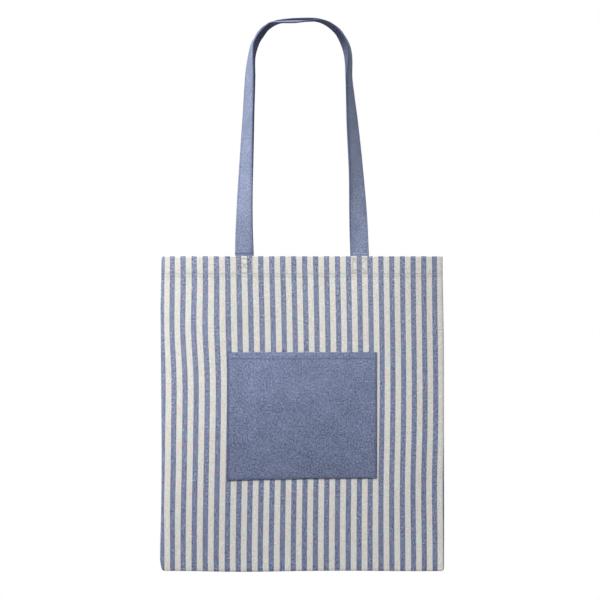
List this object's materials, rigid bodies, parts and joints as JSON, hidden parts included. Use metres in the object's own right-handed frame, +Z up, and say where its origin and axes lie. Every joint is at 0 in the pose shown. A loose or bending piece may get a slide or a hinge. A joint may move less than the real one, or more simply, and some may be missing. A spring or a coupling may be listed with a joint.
{
  "type": "tote bag",
  "caption": "Flat canvas tote bag with vertical stripes, a plain patch pocket and long loop handles, hanging from its handles.",
  "frame": {"origin": "level with the underside of the back handle's crown, midway between the two handles and between their legs, where a hook, peg or hand carries the bag", "axes": "+Z up, along the handles; +X to the viewer's right along the bag's width; the front with the pocket faces -Y"},
  "size_m": [0.38, 0.0554, 0.7413],
  "materials": {
    "striped_canvas": "matt yarn-dyed canvas",
    "blue_chambray": "matt chambray",
    "natural_thread": "spun sewing thread",
    "blue_thread": "spun sewing thread",
    "overlock_thread": "looped overlock thread"
  },
  "bodies": {
    "bag": {"front_panel": "striped_canvas", "back_panel": "striped_canvas", "front_pocket": "blue_chambray", "left_side_seam": "overlock_thread", "right_side_seam": "overlock_thread", "bottom_seam": "overlock_thread", "front_hem_thread": "natural_thread", "back_hem_thread": "natural_thread", "front_left_box_thread": "natural_thread", "front_right_box_thread": "natural_thread", "back_left_box_thread": "natural_thread", "back_right_box_thread": "natural_thread", "pocket_edge_thread": "blue_thread", "pocket_hem_thread": "blue_thread", "front_handle_left_end": "blue_chambray", "front_handle_right_end": "blue_chambray", "back_handle_left_end": "blue_chambray", "back_handle_right_end": "blue_chambray"},
    "front_handle": {"front_handle": "blue_chambray", "front_handle_inner_edge_thread": "blue_thread", "front_handle_outer_edge_thread": "blue_thread"},
    "back_handle": {"back_handle": "blue_chambray", "back_handle_inner_edge_thread": "blue_thread", "back_handle_outer_edge_thread": "blue_thread"}
  },
  "joints": [
    {"name": "front_handle_fold", "type": "hinge", "parent": "bag", "child": "front_handle", "pos_m": [0, -0.0202, -0.3166], "axis": [1, 0, 0], "range_deg": [0, 165]},
    {"name": "back_handle_fold", "type": "hinge", "parent": "bag", "child": "back_handle", "pos_m": [0, 0.0202, -0.3166], "axis": [-1, 0, 0], "range_deg": [0, 165]}
  ]
}
